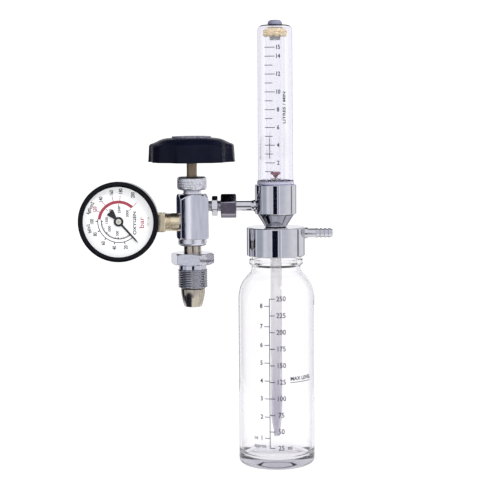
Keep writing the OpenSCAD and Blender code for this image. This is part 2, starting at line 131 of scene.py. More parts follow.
def rounded(outline, radius, closed=True, n=3):
    """The outline with each of its sharp corners replaced by a small arc."""
    blunt = math.radians(155)
    out = []
    count = len(outline)
    for i, p in enumerate(outline):
        if not closed and i in (0, count - 1) or p[0] <= 1e-6:
            out.append(p)
            continue
        a, c = Vector(outline[i - 1]), Vector(outline[(i + 1) % count])
        b = Vector(p)
        u, v = a - b, c - b
        if u.length < 1e-6 or v.length < 1e-6:
            continue
        angle = u.angle(v)
        if angle > blunt:
            out.append(p)
            continue
        back = min(radius / math.tan(angle / 2), 0.45 * u.length, 0.45 * v.length)
        start, end = b + u.normalized() * back, b + v.normalized() * back
        for k in range(n + 1):
            t = k / n
            out.append(tuple((1 - t) ** 2 * start + 2 * t * (1 - t) * b + t * t * end))
    return out


def turned(name, outline, place=UPRIGHT, n=96, shape=None, ring=True, *, edge):
    """Turns an outline of (radius, height) points about Z; shape(phi, r, z) may change a point's radius."""
    points = rounded(outline, edge, closed=ring) if edge else outline
    verts, faces, rows = [], [], []
    for r, z in points:
        if r < 1e-6:
            rows.append([len(verts)] * n)
            verts.append((0, 0, z))
            continue
        rows.append(list(range(len(verts), len(verts) + n)))
        for k in range(n):
            phi = TAU * k / n
            rr = shape(phi, r, z) if shape else r
            verts.append((rr * math.cos(phi), rr * math.sin(phi), z))
    pairs = list(zip(rows, rows[1:])) + ([(rows[-1], rows[0])] if ring else [])
    for low, high in pairs:
        for k in range(n):
            m = (k + 1) % n
            face = list(dict.fromkeys((low[k], low[m], high[m], high[k])))
            if len(face) > 2:
                faces.append(face)
    obj = new_object(name, verts, faces, place)
    bm = bmesh.new()
    bm.from_mesh(obj.data)
    bmesh.ops.recalc_face_normals(bm, faces=bm.faces)
    bm.to_mesh(obj.data)
    bm.free()
    return weighted(obj)


def spread(z0, z1, n):
    """n + 1 heights from z0 to z1."""
    return [z0 + (z1 - z0) * i / n for i in range(n + 1)]


def soft_min(a, b, k):
    """The smaller of a and b, with a rounded join of width k."""
    h = max(k - abs(a - b), 0) / k
    return min(a, b) - h * h * k / 4


def hex_radius(phi, flats, turn, edge=0.4):
    """Distance from a hexagon's centre to its side in direction phi, with its corners eased."""
    corner = flats / math.sqrt(3) - edge * 0.4
    part = (phi - math.radians(turn)) % (TAU / 6) - TAU / 12
    return soft_min(flats / 2 / math.cos(part), corner, edge)


def hex_side(flats, z0, z1):
    """The outer side of a hexagonal nut's outline, with a cone at each end that turns its corners off."""
    share, slant, steps = 0.55, 1.8, 6
    corner = flats / math.sqrt(3)
    height = share * (corner - flats / 2)
    inner = corner - height * slant
    low = [(inner + (corner - inner) * i / steps, z0 + height * i / steps) for i in range(steps + 1)]
    high = [(corner - (corner - inner) * i / steps, z1 - height * (1 - i / steps)) for i in range(steps + 1)]
    return low + [(corner, z) for z in spread(z0 + height, z1 - height, 4)[1:-1]] + high


def thread_rows(r, z0, z1, pitch, depth):
    """Outline rows for a threaded length, and the rule that cuts the helix into them."""
    rows_per_turn = 8
    rows = [(r, z) for z in spread(z0, z1, max(2, round((z1 - z0) / pitch * rows_per_turn)))]

    def cut(phi, z):
        wave = 0.5 + 0.5 * math.cos(TAU * (z / pitch - phi / TAU))
        fade = min(1, max(0, min(z - z0, z1 - z) / (0.6 * pitch)))
        return depth * fade * (1 - wave) ** 1.6

    return rows, cut


def block(name, low, high, edge, place):
    """A box with rounded edges."""
    bm = bmesh.new()
    bmesh.ops.create_cube(bm, size=1)
    for v in bm.verts:
        v.co = Vector(l + (h - l) * (c + 0.5) for l, h, c in zip(low, high, v.co))
    bmesh.ops.bevel(bm, geom=list(bm.edges), offset=edge, segments=3, profile=0.5, affect="EDGES")
    bm.verts.index_update()
    verts, faces = [tuple(v.co) for v in bm.verts], [[v.index for v in face.verts] for face in bm.faces]
    bm.free()
    return weighted(new_object(name, verts, faces, place))


def join(first, *others):
    """Puts other pieces' meshes into the first piece."""
    bm = bmesh.new()
    for obj in (first, *others):
        bm.from_mesh(obj.data)
    bm.to_mesh(first.data)
    bm.free()
    for obj in others:
        bpy.data.objects.remove(obj)
    return first


def finish_piece(obj, body, material, slot, node=None):
    """Gives a piece its body and its material, and hides the CAD node it stands for; the slot is not used."""
    obj.data.materials.clear()
    obj.data.materials.append(material)
    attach(obj, body)
    if node:
        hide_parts(node)


# ----- materials -----


class Nodes:
    """Short-hand for the node tree of a material or a world."""

    def __init__(self, owner):
        owner.use_nodes = True
        self.owner = owner
        self.tree = owner.node_tree
        self.coord = self.add("ShaderNodeTexCoord")

    def fill(self, socket, value):
        """Links an output to a socket, or sets the socket's own value."""
        if isinstance(value, bpy.types.NodeSocket):
            self.tree.links.new(value, socket)
        elif socket.type == "RGBA":
            socket.default_value = (*value[:3], 1)
        else:
            socket.default_value = value

    def set(self, node, **inputs):
        for key, value in inputs.items():
            self.fill(node.inputs[key.replace("_", " ")], value)
        return node

    def add(self, kind, **inputs):
        return self.set(self.tree.nodes.new(kind), **inputs)

    def shade(self, **inputs):
        self.set(self.tree.nodes["Principled BSDF"], **inputs)

    def noise(self, scale, detail=4.0, stretch=(1, 1, 1)):
        """Noise over the row frame; scale is in cells per metre."""
        mapping = self.add("ShaderNodeMapping", Vector=self.coord.outputs["Object"], Scale=stretch)
        node = self.add("ShaderNodeTexNoise", Vector=mapping.outputs["Vector"], Scale=scale, Detail=detail)
        return node.outputs["Fac"]

    def ramp(self, source, low, high, to_low=0.0, to_high=1.0):
        node = self.add("ShaderNodeMapRange", Value=source, From_Min=low, From_Max=high)
        return self.set(node, To_Min=to_low, To_Max=to_high).outputs["Result"]

    def mix(self, factor, a, b):
        node = self.add("ShaderNodeMix")
        node.data_type = "RGBA"
        return self.set(node, Factor=factor, A=a, B=b).outputs["Result"]

    def bump(self, height, strength):
        node = self.add("ShaderNodeBump", Height=height, Strength=strength, Distance=RELIEF)
        self.shade(Normal=node.outputs["Normal"])

    def math(self, operation, *values):
        node = self.add("ShaderNodeMath")
        node.operation = operation
        for socket, value in zip(node.inputs, values):
            self.fill(socket, value)
        return node.outputs[0]

    def stops(self, source, low, high, stops):
        """A colour ramp over a value that runs from low to high."""
        ramp = self.add("ShaderNodeValToRGB", Fac=self.ramp(source, low, high))
        elements = ramp.color_ramp.elements
        while len(elements) > 1:
            elements.remove(elements[0])
        for i, (value, color) in enumerate(stops):
            position = (value - low) / (high - low)
            element = elements[0] if i == 0 else elements.new(position)
            element.position = position
            element.color = (*color, 1)
        return ramp.outputs["Color"]


def new_material(name):
    return Nodes(bpy.data.materials.new(name))


def surface(name, color, other, rough, scale, stretch=(1, 1, 1), bump=0.05, fine=2500, **sockets):
    """A material that drifts between two colours and two roughnesses, with a fine relief."""
    m = new_material(name)
    cloud = m.ramp(m.noise(scale, stretch=stretch), 0.35, 0.65)
    haze = m.noise(scale * 3, stretch=stretch)
    m.shade(Base_Color=m.mix(cloud, color, other), Roughness=m.ramp(haze, 0.3, 0.7, *rough), **sockets)
    m.bump(m.noise(fine, 3.0, stretch), bump)
    return m.owner


def metal(*values, **more):
    """A surface of bare or plated metal."""
    return surface(*values, Metallic=1.0, **more)


def ink(name, color, other):
    """A matt printed colour."""
    return surface(name, color, other, (0.4, 0.6), 700)


def clear(name, color, rim, tint, density, ior=1.49):
    """A clear plastic whose colour darkens towards its rim as painted shade, and whose thickness tints what
    lies behind it.
    """
    m = new_material(name)
    # Painted shade: where the surface turns away from the eye, the base colour goes over to the rim colour
    facing = m.ramp(m.add("ShaderNodeLayerWeight", Blend=0.5).outputs["Facing"], 0.45, 0.95)
    haze = m.ramp(m.noise(900), 0.4, 0.8, 0.01, 0.03)
    m.shade(Base_Color=m.mix(facing, color, rim), Roughness=haze, Transmission_Weight=1.0, IOR=ior)
    absorb = m.add("ShaderNodeVolumeAbsorption", Color=tint, Density=density)
    m.set(m.tree.nodes["Material Output"], Volume=absorb.outputs["Volume"])
    return m.owner


def pane(name, alpha):
    """A thin clear pane: mostly see-through, with the gloss of its face."""
    m = new_material(name)
    color = m.mix(m.noise(60), (0.2, 0.21, 0.24), (0.17, 0.18, 0.21))
    m.shade(Base_Color=color, Roughness=m.ramp(m.noise(500), 0.4, 0.8, 0.01, 0.04), Alpha=alpha)
    return m.owner


def frosted(name, top, bottom, z_top, z_bottom):
    """A milky translucent tube whose colour darkens from its top to its bottom."""
    m = new_material(name)
    place = m.add("ShaderNodeSeparateXYZ", Vector=m.coord.outputs["Object"])
    height = m.ramp(place.outputs["Z"], z_bottom * MM, z_top * MM)
    haze = m.ramp(m.noise(400), 0.3, 0.7, 0.3, 0.45)
    m.shade(Base_Color=m.mix(height, bottom, top), Roughness=haze)
    m.shade(Transmission_Weight=0.75, Alpha=0.5, IOR=1.35)
    m.bump(m.noise(1500, 3.0, (1, 1, 0.3)), 0.08)
    return m.owner


# Metals: two colours, the range of roughness, and how many clouds there are to a metre
CHROME = metal("chrome", (0.61, 0.61, 0.645), (0.57, 0.57, 0.61), (0.03, 0.09), 220, bump=0.02)
SATIN_CHROME = metal(
    "satin_chrome", (0.66, 0.66, 0.72), (0.56, 0.56, 0.62), (0.07, 0.15), 600, bump=0.025, fine=1500
)
BAR_CHROME = metal(
    "bar_chrome", (0.66, 0.66, 0.71), (0.57, 0.57, 0.63), (0.04, 0.09), 420, stretch=(1, 1, 0.12), bump=0.02
)
SOFT_CHROME = metal("soft_chrome", (0.84, 0.84, 0.88), (0.76, 0.76, 0.81), (0.27, 0.35), 500)
THREAD_STEEL = metal("thread_steel", (0.36, 0.36, 0.395), (0.26, 0.26, 0.295), (0.1, 0.2), 800, bump=0.12)
DARK_CHROME = metal("dark_chrome", (0.34, 0.32, 0.37), (0.27, 0.26, 0.31), (0.1, 0.2), 260, bump=0.04)
KNURLED = metal(
    "knurled_chrome", (1.0, 1.0, 1.0), (0.52, 0.52, 0.6), (0.26, 0.4), 1100, bump=0.6, fine=1100
)
BRASS = metal(
    "brass", (0.34, 0.27, 0.185), (0.24, 0.185, 0.125), (0.34, 0.48), 320, stretch=(1, 1, 0.25), bump=0.06
)
PALE_BRASS = metal("pale_brass", (0.93, 0.83, 0.63), (0.82, 0.7, 0.5), (0.24, 0.36), 240)
NOSE_BRASS = metal(
    "nose_brass", (0.54, 0.49, 0.41), (0.44, 0.39, 0.32), (0.12, 0.24), 240, stretch=(1, 1, 0.2)
)
BRONZE = metal("bronze", (0.45, 0.33, 0.2), (0.35, 0.25, 0.15), (0.35, 0.55), 600, bump=0.3)
SPRING = metal("spring_bronze", (0.62, 0.45, 0.24), (0.5, 0.36, 0.19), (0.2, 0.35), 300, bump=0.04)

# Mouldings, enamels and seals
BLACK = surface(
    "black_moulding", (0.004, 0.005, 0.013), (0.006, 0.007, 0.018), (0.24, 0.36), 120, Specular_IOR_Level=0.08
)
# Painted reflection: the raised marks on the handwheel's crown are a light grey for the bright sky they
# reflect
MARK_SHEEN = surface("painted_sheen_moulding", (0.26, 0.25, 0.31), (0.16, 0.155, 0.2), (0.3, 0.45), 500, bump=0.1)
ENAMEL = surface(
    "black_enamel", (0.003, 0.003, 0.006), (0.005, 0.005, 0.009), (0.1, 0.2), 150,
    bump=0.04, Specular_IOR_Level=0.12,
)
# A little emission makes up for the shade of the deep bezel
GLOWING_DIAL = surface(
    "glowing_dial_enamel", (0.76, 0.76, 0.755), (0.72, 0.72, 0.715), (0.35, 0.5), 90,
    bump=0.02, Emission_Color=(1, 1, 1), Emission_Strength=0.44,
)
HUB = surface("hub_enamel", (0.72, 0.72, 0.68), (0.66, 0.66, 0.62), (0.35, 0.5), 400)
RUBBER = surface("black_rubber", (0.022, 0.022, 0.028), (0.035, 0.035, 0.042), (0.45, 0.65), 400, bump=0.15)
FIBRE = surface("red_fibre", (0.26, 0.055, 0.03), (0.2, 0.04, 0.025), (0.6, 0.8), 800, bump=0.3)
WHITE_SEAL = surface("white_seal", (0.8, 0.8, 0.77), (0.74, 0.74, 0.71), (0.35, 0.5), 300, bump=0.08)
LILAC = surface("lilac_seal", (0.5, 0.48, 0.72), (0.42, 0.4, 0.62), (0.2, 0.35), 300)
FLOAT = surface("float_red", (0.52, 0.002, 0.085), (0.4, 0.002, 0.06), (0.25, 0.4), 400)
AMBER = surface("amber_plug", (0.98, 0.86, 0.6), (0.9, 0.66, 0.34), (0.2, 0.35), 900)
BUTTON = surface("grey_button", (0.2, 0.2, 0.29), (0.28, 0.28, 0.37), (0.3, 0.45), 200)
FLANGE = surface(
    "cover_flange", (0.86, 0.84, 0.95), (0.78, 0.76, 0.89), (0.15, 0.3), 200,
    bump=0.04, Transmission_Weight=0.4,
)

INK = ink("black_ink", (0.008, 0.008, 0.011), (0.016, 0.016, 0.02))
BLUE_INK = ink("blue_black_ink", (0.012, 0.01, 0.03), (0.028, 0.024, 0.055))
RED_INK = ink("red_ink", (0.42, 0.04, 0.07), (0.5, 0.07, 0.1))
GREY_INK = ink("grey_ink", (0.02, 0.02, 0.035), (0.05, 0.05, 0.07))

# Clear plastics: face colour, rim colour for the painted shade at the rim, and the tint and density of the
# plastic itself
WINDOW = pane("window_plastic", 0.015)
CLEAR = clear("clear_plastic", (0.985, 0.985, 0.99), (0.6, 0.57, 0.72), (0.42, 0.38, 0.7), 52)
TUBE = clear("tube_plastic", (0.98, 0.98, 0.99), (0.8, 0.77, 0.9), (0.4, 0.36, 0.7), 12)
BOTTLE = clear("bottle_plastic", (0.985, 0.98, 0.99), (0.52, 0.5, 0.58), (0.44, 0.43, 0.52), 24, ior=1.38)
FROSTED = frosted("frosted_plastic", (0.98, 0.97, 0.99), (0.46, 0.42, 0.55), 10, -100)

# CAD nodes that keep their own shape
for material, nodes in (
    (BRONZE, "inlet_filter"),
    (BRASS, "seat_plug packing_washer wheel_insert sector_gear gauge_link bourdon_tip"),
    (BRASS, "movement_front_plate movement_back_plate movement_pillars movement_screws"),
    (PALE_BRASS, "pointer_pinion"),
    (SPRING, "hairspring bourdon_tube"),
    (CHROME, "wheel_washer wheel_nut"),
    (DARK_CHROME, "cap_locknut"),
    (GLOWING_DIAL, "gauge_dial dial_screws"),
    (FIBRE, "gauge_washer"),
    (RUBBER, "plug_seal window_gasket blowout_plug union_washer tube_seal cap_seal"),
    (WHITE_SEAL, "valve_seat gland_packing float_stops bottle_gasket"),
):
    for node in nodes.split():
        mesh = frame["nodes"][node].data
        mesh.materials.clear()
        mesh.materials.append(material)


# ----- inlet -----


def inlet_nipple():
    """A bull nose on a long stem."""
    box = Box("inlet_nipple")
    tip = box.z0
    r = STEM_R
    outline = [(3.2, tip), (6.2, tip)] + arc(-30.2, 0, 39.7, -21.4, -1.5, 10)
    outline += [(9.2, -0.4), (r, -0.4), (r, 4), (r, 30), (r, BODY_Z), (r - 0.5, BODY_Z)]
    outline += [(r - 0.5, box.z1), (2, box.z1), (2, -8), (3.2, -8)]
    return turned("inlet_nipple_turned", outline, n=128, edge=0.3)


def inlet_nut():
    """The six-sided head and, as a second piece, its threaded sleeve."""
    thread_r = frame["record"]["mounts"][0]["dims"]["r_mm"]
    top = Box("inlet_nut").z1
    bore, groove_r, flats = STEM_R + 0.05, 10.7, 30
    run_out, head = 14.5, 18.6
    rows, cut = thread_rows(thread_r, 0.9, run_out, pitch=1.814, depth=0.5)
    thread = [(bore, 0.3), (bore + 0.3, 0), (thread_r - 1.5, 0), (thread_r - 0.8, 0.5)] + rows
    thread += [(thread_r - 0.3, run_out + 0.4), (bore, run_out + 0.4)]

    def helix(phi, r, z):
        return r - cut(phi, z) if r > thread_r - 0.01 else r

    outline = [(bore, run_out), (groove_r, run_out), (groove_r, 15), (groove_r, head - 0.6)]
    outline += [(groove_r, head - 0.2), (groove_r + 0.2, head)]
    outline += hex_side(flats, head, top) + [(bore + 0.3, top), (bore, top - 0.3)]

    def shape(phi, r, z):
        if z < head - 0.1 or r < bore + 0.4:
            return r
        return soft_min(r, hex_radius(phi, flats, NUT_TURN, 0.08), 0.2)

    nut = turned("inlet_nut_turned", outline, n=360, shape=shape, edge=0)
    return nut, turned("inlet_nut_thread", thread, n=180, shape=helix, edge=0)


# ----- valve -----


def valve_body():
    """A square bar, its faces faintly crowned, with rounded corners and its top corners swept down."""
    box = Box("valve_body")
    low, top = box.z0, box.z1
    half, corner, crown = 11.3, 15.4, 0.4
    foot, sweep = 1.8, 4
    steps = 8
    outline = [(STEM_R - 0.5, 46), (STEM_R - 0.5, low + 0.3), (STEM_R - 0.2, low)]
    outline += [(corner - 2 + 2 * i / steps, low + foot * i / steps) for i in range(steps + 1)]
    outline += [(corner, z) for z in spread(low + foot, top - sweep, 6)[1:-1]]
    outline += [(corner - sweep * i / steps, top - sweep + sweep * i / steps) for i in range(steps + 1)]
    outline += [(7.8, top), (7.5, top - 0.3), (7.5, 68), (5.3, 68), (5.3, 58.8), (4, 58.8)]
    outline += [(4, 55), (2, 54.5), (2, 47)]

    def shape(phi, r, z):
        part = (phi - math.radians(BODY_TURN) + TAU / 8) % (TAU / 4) - TAU / 8
        return soft_min(r, (half - crown * math.tan(part) ** 2) / math.cos(part), 0.1) if r > 9 else r

    return turned("valve_body_turned", outline, n=240, shape=shape, edge=0)


def stem_collar():
    """A plain ring under the body, with its lower edge rounded."""
    box = Box("stem_collar")
    outline = [(STEM_R, box.z0), (9, box.z0)] + arc(9, box.z0 + 2.2, 2.2, -75, 0, 6)
    return turned("stem_collar_turned", outline + [(11.2, box.z1), (STEM_R, box.z1)], edge=0.2)


def bonnet():
    """The neck between the body and the gland nut."""
    box = Box("bonnet")
    outline = [
        (4.65, box.z0), (7.5, box.z0), (7.5, BODY_TOP), (7.2, BODY_TOP + 0.1), (6.8, BODY_TOP + 1.5),
        (7.2, 76.5), (8.5, 76.7), (8.5, box.z1), (6.4, box.z1), (6.4, 77), (4.65, 77),
    ]
    return turned("bonnet_turned", outline, edge=0.2)


def gland_nut():
    """A nut with a crossed knurl round its side and well rounded ends."""
    box = Box("gland_nut")
    r = box.rx
    across, pitch, depth = 44, 1.9, 0.22
    low, high = box.z0 + 1.6, box.z1 - 1.9
    outline = [(8.55, box.z0 + 0.3), (8.8, box.z0)] + arc(r - 2, box.z0 + 2, 2, -90, -20, 4)
    outline += [(r, z) for z in spread(low, high, 32)]
    outline += arc(r - 2.3, box.z1 - 2.3, 2.3, 20, 90, 5) + [(4.35, box.z1), (SPINDLE_R + 0.05, box.z1 - 0.3)]
    outline += [(SPINDLE_R + 0.05, 81.2), (6.4, 81.2), (6.4, 83.3), (8.55, 83.3)]

    def shape(phi, rr, z):
        if rr < r - 0.02:
            return rr
        fade = min(1, max(0, min(z - low, high - z) / 0.7))
        peak = math.cos(across * phi + TAU * z / pitch / 2) * math.cos(across * phi - TAU * z / pitch / 2)
        return rr - depth * (1 - fade * (0.5 + 0.5 * peak))

    return turned("gland_nut_knurled", outline, n=512, shape=shape, edge=0)


def spindle():
    """The stem that joins the handwheel to the seat plug."""
    box = Box("spindle")
    r = SPINDLE_R
    outline = [
        (0, 66.6), (2.05, 66.6), (2.05, 64.2), (4.3, box.z0), (4.6, 64.4), (4.6, 72), (r, 72.8), (r, 103),
        (3, 103.5), (3, 116.6), (2.6, box.z1), (0, box.z1),
    ]
    return turned("spindle_turned", outline, ring=False, edge=0.12)


# ----- handwheel -----


def flute_radius(phi, wheel_r):
    """Where a finger flute's hollow lies in direction phi; the flutes share the CAD wheel's spacing."""
    flutes, turn, hollow, depth = 8, math.radians(15), 21.0, 3.0
    centre = wheel_r + hollow - depth
    part = (phi - turn + math.pi / flutes) % (TAU / flutes) - math.pi / flutes
    reach = hollow**2 - (centre * math.sin(part)) ** 2
    return centre * math.cos(part) - math.sqrt(reach) if reach > 0 else 99


def handwheel():
    """The fluted wheel with its ribs and, as a second piece, the raised marks on its crown."""
    box = Box("handwheel")
    r, low = box.rx, box.z0
    rib_count, draft = 8, 0.055
    wall = spread(low + 1.5, 109.9, 6)
    outline = [(3.2, low + 1.3), (3.5, low + 1), (8.7, low + 1), (9, low + 1.3), (9, 112.2), (9.6, 112.7)]
    outline += [(14, 112.7), (26, 110.9), (27.6, 109.6), (28.2, 108), (28.5, low + 0.4), (28.9, low)]
    outline += [(r - 0.4, low), (r, low + 0.25), (r - 0.35, low + 1.0)]
    outline += [(r - 0.5 - draft * (z - wall[0]), z) for z in wall]
    outline += arc(r - 3.9, 109.9, 2.9, 6, 70, 7) + [(29.9, 113.05), (26.2, 114.75), (25.2, 115.3)]
    outline += [(24.6, 115.5), (22.5, 116.3), (19.5, 116.85), (16, 117.15), (12, 117.2), (7.6, 117.2)]
    outline += [(7.2, 116.8), (7.2, 112.8), (6.9, 112.5), (3.2, 112.5)]

    def shape(phi, rr, z):
        return soft_min(rr, flute_radius(phi, r), 0.7) if rr > 28.7 or z > 112.9 else rr

    wheel = turned("handwheel_moulding", outline, n=360, shape=shape, edge=0)
    ribs = []
    for i in range(rib_count):
        turn = Matrix.Rotation(TAU * (i + 0.5) / rib_count, 4, "Z")
        ribs.append(block(f"rib_{i}", (8.5, -1, low + 5), (28.2, 1, 112), 0.4, turn))
    return join(wheel, *ribs), join(*wheel_marks(box.z1))


def wheel_marks(high):
    """Raised arcs on the crown, short ones at front and back and long ones at the sides."""
    inner, outer, low, gap = 11.8, 15.2, 116.6, 2
    section = rounded([(inner, low), (outer, low), (outer, high), (inner, high)], 0.45, n=4)
    count = len(section)
    marks = []
    for turn in (0, 180):
        for start, end in ((-109, -71), (-71, 0), (0, 71)):
            a, b = math.radians(start + turn + gap), math.radians(end + turn - gap)
            steps = max(6, round((b - a) * 14))
            verts, faces = [], []
            for i in range(steps + 1):
                t = a + (b - a) * i / steps
                verts += [(r * math.cos(t), r * math.sin(t), z) for r, z in section]
            for i in range(steps):
                for k in range(count):
                    m = (k + 1) % count
                    faces.append((i * count + k, i * count + m, (i + 1) * count + m, (i + 1) * count + k))
            faces += [tuple(reversed(range(count))), tuple(range(steps * count, (steps + 1) * count))]
            marks.append(new_object(f"mark_{turn}_{start}", verts, faces))
    return marks


# ----- gauge -----


def gauge_case():
    """A pressed steel pan."""
    outline = [(0.01, -11)] + arc(26.5, -7.5, 3.5, -90, 0, 8) + [(30, 12), (29, 12)]
    outline += arc(26.5, -7.5, 2.5, 0, -90, 8) + [(0.01, -10)]
    return turned("gauge_case_pressed", outline, AT_GAUGE, n=128, edge=0.2)


def gauge_bezel():
    """A pressed ring: a rolled outer bead, a flat lip and a bevel down to the window."""
    r = Box("gauge_bezel").rx
    bead = 2.0
    outline = [(30.05, 8), (r - 0.6, 8), (r - 0.15, 8.5), (r - 0.15, 12.6)]
    outline += arc(r - bead, 15.0, bead, 0, 90, 8)
    outline += [(28.4, 16.9), (28.0, 16.5), (27.6, 16.35), (27.15, 16.1), (27.1, 15.5)]
    outline += [(29, 15.5), (29, 12), (30.05, 12)]
    return turned("gauge_bezel_rolled", outline, AT_GAUGE, n=160, edge=0.12)


def gauge_socket():
    """The gauge's square shank, its grooved neck and the block that holds the Bourdon tube."""
    half = 7.35
    low, high = (-28.3, -half, SOCKET_Z - half), (-20.7, half, SOCKET_Z + half)
    square = block("gauge_socket_forged", low, high, 0.8, UPRIGHT)
    crest, root = 7.1, 6.75
    outline = [(1.2, -21), (6.9, -21), (6.9, -19.6)]
    for k in range(3):
        outline += [(crest, -19.3 + k), (root, -19.0 + k), (root, -18.7 + k), (crest, -18.4 + k)]
    outline += [(crest, -13), (crest, -9.8), (5, -9.8), (5, -6), (1.2, -6)]
    neck = turned("socket_neck", outline, along_x(SOCKET_Z), edge=0.12)
    inner = block("socket_inner", (-6, -30.5, -6), (5, -16.5, 5.5), 0.3, AT_GAUGE)
    ledge = block("socket_ledge", (-4.5, -17, -6), (4.5, -11.5, -2), 0.2, AT_GAUGE)
    return join(square, neck, inner, ledge)


def gauge_pointer():
    """A slim needle with a wide tail and a ring, turned to the rest angle, and the boss at its centre."""
    rest = Matrix.Rotation(math.radians(-48), 4, "Z")
    needle = [
        (-0.85, -3), (-0.6, -19.5), (0, -22.4), (0.6, -19.5), (0.85, -3), (0.9, 3), (3.3, 9.9), (1.2, 10.3),
        (0, 9.7), (-1.2, 10.3), (-3.3, 9.9), (-0.9, 3),
    ]
    count = len(needle)
    verts = [(x, y, 11.0) for x, y in needle] + [(x, y, 11.4) for x, y in needle]
    faces = [tuple(reversed(range(count))), tuple(range(count, 2 * count))]
    faces += [(k, (k + 1) % count, count + (k + 1) % count, count + k) for k in range(count)]
    blade = new_object("gauge_pointer_blade", verts, faces, AT_GAUGE @ rest, smooth=False)
    outline = [(2.2, 10.9), (3.75, 10.9), (3.75, 11.6), (3.5, 11.8), (2.45, 11.8), (2.2, 11.6)]
    ring = turned("pointer_ring", outline, AT_GAUGE, edge=0.1)
    outline = [(0.85, 10.5), (2.15, 10.5), (2.15, 11.9), (1.9, 12.2), (0.85, 12.3)]
    return join(blade, ring), turned("pointer_boss", outline, AT_GAUGE, edge=0.1)


def gauge_window():
    """A flat disc seated in the bezel."""
    r, low, high = Box("gauge_window").rx, 13.4, 15.5
    outline = [(0, low), (r, low), (r, high), (0, high)]
    return turned("gauge_window_disc", outline, AT_GAUGE, ring=False, n=128, edge=0.2)


# ----- printing -----


class Print:
    """Flat printed shapes in millimetres, laid on a surface by a mapping from (x, y) to a point."""

    def __init__(self):
        self.verts, self.faces = [], []

    def polygon(self, points):
        base = len(self.verts)
        self.verts += points
        self.faces.append(tuple(range(base, base + len(points))))

    def rect(self, x0, y0, x1, y1):
        steps = max(1, math.ceil(abs(x1 - x0) / 1.5))
        for i in range(steps):
            a, b = x0 + (x1 - x0) * i / steps, x0 + (x1 - x0) * (i + 1) / steps
            self.polygon([(a, y0), (b, y0), (b, y1), (a, y1)])

    def radial(self, angle, r0, r1, width):
        a = math.radians(angle)
        u, v = Vector((math.cos(a), math.sin(a))), Vector((-math.sin(a), math.cos(a))) * width / 2
        self.polygon([tuple(u * r0 - v), tuple(u * r1 - v), tuple(u * r1 + v), tuple(u * r0 + v)])

    def band(self, r0, r1, start, end):
        steps = max(2, round(abs(end - start) / 3))
        for i in range(steps):
            a, b = (math.radians(start + (end - start) * (i + k) / steps) for k in (0, 1))
            corners = (r0, a), (r1, a), (r1, b), (r0, b)
            self.polygon([(r * math.cos(t), r * math.sin(t)) for r, t in corners])

    def text(self, words, x, y, size, turn=0.0, width=1.0, bold=0.0):
        curve = bpy.data.curves.new("words", "FONT")
        curve.body = words
        curve.size = size
        curve.align_x = curve.align_y = "CENTER"
        curve.offset = bold
        curve.resolution_u = 3
        obj = in_scene("words", curve)
        bpy.context.view_layer.update()
        mesh = bpy.data.meshes.new_from_object(obj.evaluated_get(bpy.context.evaluated_depsgraph_get()))
        c, s = math.cos(math.radians(turn)), math.sin(math.radians(turn))
        base = len(self.verts)
        for v in mesh.vertices:
            px, py = v.co.x * width, v.co.y
            self.verts.append((x + px * c - py * s, y + px * s + py * c))
        self.faces += [tuple(base + i for i in f.vertices) for f in mesh.polygons]
        bpy.data.objects.remove(obj)
        bpy.data.meshes.remove(mesh)

    def lay(self, name, mapping, material, body, slot):
        obj = new_object(name, [mapping(x, y) for x, y in self.verts], self.faces, smooth=False)
        mod = obj.modifiers.new("ink", "SOLIDIFY")
        mod.thickness = 0.05 * MM
        mod.offset = 0
        finish_piece(obj, body, material, slot)


def on_dial(x, y):
    """Lays a point on the face of the dial."""
    return AT_GAUGE @ Vector((x, y, 10.04))


def dial_print():
    """A scale of 0 to 200 outside and 0 to 3000 inside, with the upper half marked red."""
    zero, sweep, red_from = 221.5, 265.5, 104
    black, red = Print(), Print()

    def angle(value, full=200):
        return zero - sweep * value / full

    def words(layer, text, r, degrees, *size, **style):
        a = math.radians(degrees)
        layer.text(text, r * math.cos(a), r * math.sin(a), *size, **style)

    black.band(15.9, 16.5, angle(0), angle(red_from))
    black.band(13.2, 13.8, angle(0), angle(red_from))
    red.band(14.0, 16.3, angle(red_from), angle(200))
    for value in range(0, 101, 20):
        black.radial(angle(value), 16.1, 18.0, 0.7)
    # The figures are not evenly spaced above 100, and the red ticks go with them
    for i, turn in enumerate((195, 170, 144, 118, 90, 62, 38, 13, -5, -29)):
        value = 20 * (i + 1)
        r = 20.6 if value <= 120 else min(23.4, 20.8 + (value - 120) * 0.05)
        if value > 100:
            red.radial(turn + 1 if value < 200 else angle(200), 16.1, 20.2, 0.45)
        words(red if value == 120 else black, str(value), r, turn, 4.0, width=0.76, bold=0.1)
    for value in range(0, 101, 4):
        black.radial(angle(value), 12.5 if value % 20 else 12.0, 13.5, 0.5)
    for value in range(500, 3001, 500):
        black.radial(angle(value, 3000), 12.0, 13.5, 0.5)
        words(black, str(value), 9.2, angle(value, 3000) - 4, 2.9, width=0.95, bold=0.08)
    black.text("OXYGEN", -1.2, -12.4, 3.5, width=1.25, bold=0.1)
    words(black, "kgf/cm2", 24.2, 64, 3.8, turn=64 - 90, width=0.85, bold=0.09)
    words(black, "lbf/in2", 23.5, 103, 3.4, turn=103 - 90, width=0.85, bold=0.09)
    red.text("bar", -1.0, -17.8, 5.4, width=1.25, bold=0.04)
    black.text("CL 1.6", 0, -22.9, 2.4)
    black.lay("dial_print_black", on_dial, INK, "valve", "pointer_black")
    red.lay("dial_print_red", on_dial, RED_INK, "valve", "float_red")


def on_cylinder(radius):
    """Maps x round the front of a vertical cylinder about the flowmeter's axis, and y to the height."""

    def place(x, y):
        a = math.radians(-90) + x / radius
        return (FLOW_X + radius * math.cos(a), radius * math.sin(a), y)

    return place


